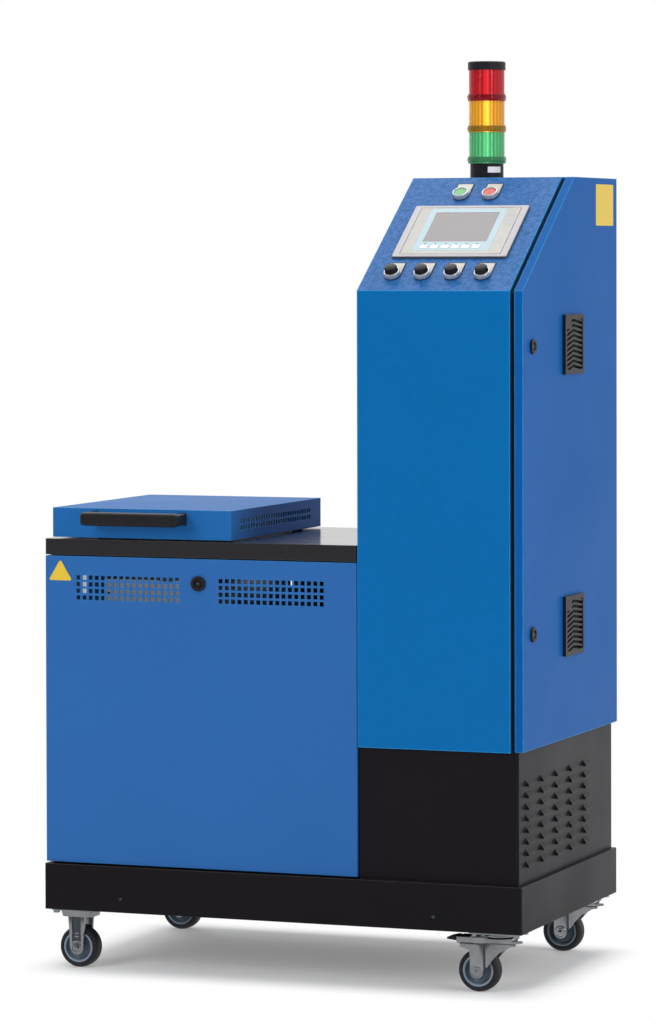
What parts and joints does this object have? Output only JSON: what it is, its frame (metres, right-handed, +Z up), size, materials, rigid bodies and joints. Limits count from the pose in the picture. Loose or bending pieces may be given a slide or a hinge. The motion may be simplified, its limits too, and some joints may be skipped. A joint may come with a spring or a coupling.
{
  "type": "hot melt glue unit",
  "caption": "Mobile hot melt glue melter with a lidded tank, gear pump, hose ports and a tall control cabinet with sloping console, signal tower and casters.",
  "frame": {"origin": "on the floor under the middle of the outer box", "axes": "+Z up, front with the console and tank lid handle faces -Y, cabinet on +X"},
  "size_m": [0.9194, 0.603, 1.6452],
  "materials": {
    "bezel_grey": "light grey frame with pale blue foil",
    "black_coat": "semi-matt fine textured powder coat",
    "black_plastic": "moulded, fine grain",
    "blue_coat": "fine textured powder coat",
    "brass_nickel": "nickel-plated brass",
    "cast_alu": "cast and machined",
    "chromed": "satin chrome ring",
    "device_dark": "moulded",
    "fleece": "dark grey filter mat",
    "foam": "closed-cell foam",
    "frame_grey": "painted square tube",
    "galvanized": "galvanized sheet",
    "green_cap": "gloss",
    "grey_plastic": "moulded",
    "jacket": "stainless sheet over insulation",
    "legend": "anodized plate",
    "lens_amber": "translucent lens",
    "lens_green": "translucent lens",
    "lens_red": "translucent lens",
    "light_plastic": "moulded",
    "motor_grey": "painted cast housing",
    "red_cap": "gloss",
    "screen": "dull display foil",
    "steel": "ground steel",
    "wheel": "grey-blue rim and black rubber tyre",
    "winding": "varnished core and windings",
    "zinc": "bright zinc plate"
  },
  "bodies": {
    "unit": {"base_tray": "black_coat", "caster_bolts": "zinc", "fixed_forks": "zinc", "swivel_plates": "zinc", "plinth_box": "black_coat", "plinth_louvre_panel": "black_coat", "transformer": "winding", "cabinet_shell": "blue_coat", "mounting_plate": "galvanized", "drive_inverter": "device_dark", "controller": "light_plastic", "switchgear": "grey_plastic", "cable_gland": "brass_nickel", "door_hinges": "zinc", "hmi_bezel": "bezel_grey", "hmi_screen": "screen", "legend_plates": "legend", "control_bodies": "chromed", "tower_body": "black_plastic", "tower_lens_green": "lens_green", "tower_lens_amber": "lens_amber", "tower_lens_red": "lens_red", "housing_frame": "frame_grey", "housing_panels": "blue_coat", "top_slab": "black_coat", "filler_frame": "steel", "lid_hinges": "zinc", "melt_tank": "cast_alu", "tank_jacket": "jacket", "pump_body": "steel", "gearmotor": "motor_grey"},
    "side_door": {"side_door": "blue_coat", "door_seal": "foam", "filter_grilles": "black_plastic", "filter_mats": "fleece"},
    "door_lock_upper": {"door_lock_upper": "black_plastic"},
    "door_lock_lower": {"door_lock_lower": "black_plastic"},
    "fan_rotor": {"fan_rotor": "black_plastic"},
    "front_panel": {"front_panel": "blue_coat"},
    "panel_lock": {"panel_lock": "black_plastic"},
    "lid": {"hopper_lid": "blue_coat", "lid_liner": "galvanized", "lid_handle": "black_plastic"},
    "selector_knob_1": {"selector_knob_1": "black_plastic"},
    "selector_knob_2": {"selector_knob_2": "black_plastic"},
    "selector_knob_3": {"selector_knob_3": "black_plastic"},
    "selector_knob_4": {"selector_knob_4": "black_plastic"},
    "start_button": {"start_button": "green_cap"},
    "stop_button": {"stop_button": "red_cap"},
    "swivel_fork_front": {"swivel_fork_front": "zinc"},
    "swivel_fork_rear": {"swivel_fork_rear": "zinc"},
    "brake_pedal_front": {"brake_pedal_front": "black_plastic"},
    "brake_pedal_rear": {"brake_pedal_rear": "black_plastic"},
    "wheel_left_front": {"wheel_left_front": "wheel"},
    "wheel_left_rear": {"wheel_left_rear": "wheel"},
    "wheel_right_front": {"wheel_right_front": "wheel"},
    "wheel_right_rear": {"wheel_right_rear": "wheel"},
    "pump_drive_gear": {"pump_drive_gear": "steel"},
    "pump_driven_gear": {"pump_driven_gear": "steel"},
    "main_switch": {"main_switch": "black_plastic"}
  },
  "joints": [
    {"name": "door_swing", "type": "hinge", "parent": "unit", "child": "side_door", "pos_m": [0.44235, 0.2965, 0.928], "axis": [0, 0, 1], "range_deg": [0, 115]},
    {"name": "door_lock_lower_turn", "type": "hinge", "parent": "side_door", "child": "door_lock_lower", "pos_m": [0.45335, -0.2045, 0.628], "axis": [1, 0, 0], "range_deg": [0, 90]},
    {"name": "door_lock_upper_turn", "type": "hinge", "parent": "side_door", "child": "door_lock_upper", "pos_m": [0.45335, -0.2045, 1.132], "axis": [1, 0, 0], "range_deg": [0, 90]},
    {"name": "fan_spin", "type": "hinge", "parent": "side_door", "child": "fan_rotor", "pos_m": [0.41775, 0.0195, 0.628], "axis": [1, 0, 0], "continuous": true},
    {"name": "panel_tilt", "type": "hinge", "parent": "unit", "child": "front_panel", "pos_m": [-0.15815, -0.2495, 0.2015], "axis": [1, 0, 0], "range_deg": [0, 75]},
    {"name": "panel_lock_turn", "type": "hinge", "parent": "front_panel", "child": "panel_lock", "pos_m": [-0.15815, -0.2555, 0.7055], "axis": [0, -1, 0], "range_deg": [0, 90]},
    {"name": "lid_swing", "type": "hinge", "parent": "unit", "child": "lid", "pos_m": [-0.27165, 0.2005, 0.7886], "axis": [-1, 0, 0], "range_deg": [0, 95]},
    {"name": "selector_1_turn", "type": "hinge", "parent": "unit", "child": "selector_knob_1", "pos_m": [0.19835, -0.22289, 1.26463], "axis": [0, -0.5676, 0.8233], "range_deg": [-45, 45]},
    {"name": "selector_2_turn", "type": "hinge", "parent": "unit", "child": "selector_knob_2", "pos_m": [0.25435, -0.22289, 1.26463], "axis": [0, -0.5676, 0.8233], "range_deg": [-45, 45]},
    {"name": "selector_3_turn", "type": "hinge", "parent": "unit", "child": "selector_knob_3", "pos_m": [0.31035, -0.22289, 1.26463], "axis": [0, -0.5676, 0.8233], "range_deg": [-45, 45]},
    {"name": "selector_4_turn", "type": "hinge", "parent": "unit", "child": "selector_knob_4", "pos_m": [0.36635, -0.22289, 1.26463], "axis": [0, -0.5676, 0.8233], "range_deg": [-45, 45]},
    {"name": "start_press", "type": "slide", "parent": "unit", "child": "start_button", "axis": [0, 0.5676, -0.8233], "range_m": [0, 0.004], "stiffness_N_per_m": 800},
    {"name": "stop_press", "type": "slide", "parent": "unit", "child": "stop_button", "axis": [0, 0.5676, -0.8233], "range_m": [0, 0.004], "stiffness_N_per_m": 800},
    {"name": "swivel_front", "type": "hinge", "parent": "unit", "child": "swivel_fork_front", "pos_m": [0.39835, -0.222, 0.0967], "axis": [0, 0, 1], "continuous": true},
    {"name": "wheel_right_front_roll", "type": "hinge", "parent": "swivel_fork_front", "child": "wheel_right_front", "pos_m": [0.36235, -0.222, 0.0375], "axis": [0, 1, 0], "continuous": true},
    {"name": "brake_front_press", "type": "hinge", "parent": "swivel_fork_front", "child": "brake_pedal_front", "pos_m": [0.33175, -0.222, 0.09138], "axis": [0, -1, 0], "range_deg": [0, 15]},
    {"name": "wheel_left_front_roll", "type": "hinge", "parent": "unit", "child": "wheel_left_front", "pos_m": [-0.40565, -0.222, 0.0375], "axis": [0, 1, 0], "continuous": true},
    {"name": "swivel_rear", "type": "hinge", "parent": "unit", "child": "swivel_fork_rear", "pos_m": [0.39835, 0.251, 0.0967], "axis": [0, 0, 1], "continuous": true},
    {"name": "wheel_right_rear_roll", "type": "hinge", "parent": "swivel_fork_rear", "child": "wheel_right_rear", "pos_m": [0.36235, 0.251, 0.0375], "axis": [0, 1, 0], "continuous": true},
    {"name": "brake_rear_press", "type": "hinge", "parent": "swivel_fork_rear", "child": "brake_pedal_rear", "pos_m": [0.33175, 0.251, 0.09138], "axis": [0, -1, 0], "range_deg": [0, 15]},
    {"name": "wheel_left_rear_roll", "type": "hinge", "parent": "unit", "child": "wheel_left_rear", "pos_m": [-0.40565, 0.251, 0.0375], "axis": [0, 1, 0], "continuous": true},
    {"name": "pump_drive_spin", "type": "hinge", "parent": "unit", "child": "pump_drive_gear", "pos_m": [-0.11305, -0.0005, 0.385], "axis": [1, 0, 0], "continuous": true},
    {"name": "pump_driven_spin", "type": "hinge", "parent": "unit", "child": "pump_driven_gear", "pos_m": [-0.11305, -0.0005, 0.421], "axis": [1, 0, 0], "continuous": true},
    {"name": "main_switch_turn", "type": "hinge", "parent": "unit", "child": "main_switch", "pos_m": [0.28735, 0.2905, 1.282], "axis": [0, 1, 0], "range_deg": [0, 90]}
  ],
  "couplings": [
    {"joint": "pump_driven_spin", "follows": "pump_drive_spin", "ratio": -1}
  ]
}
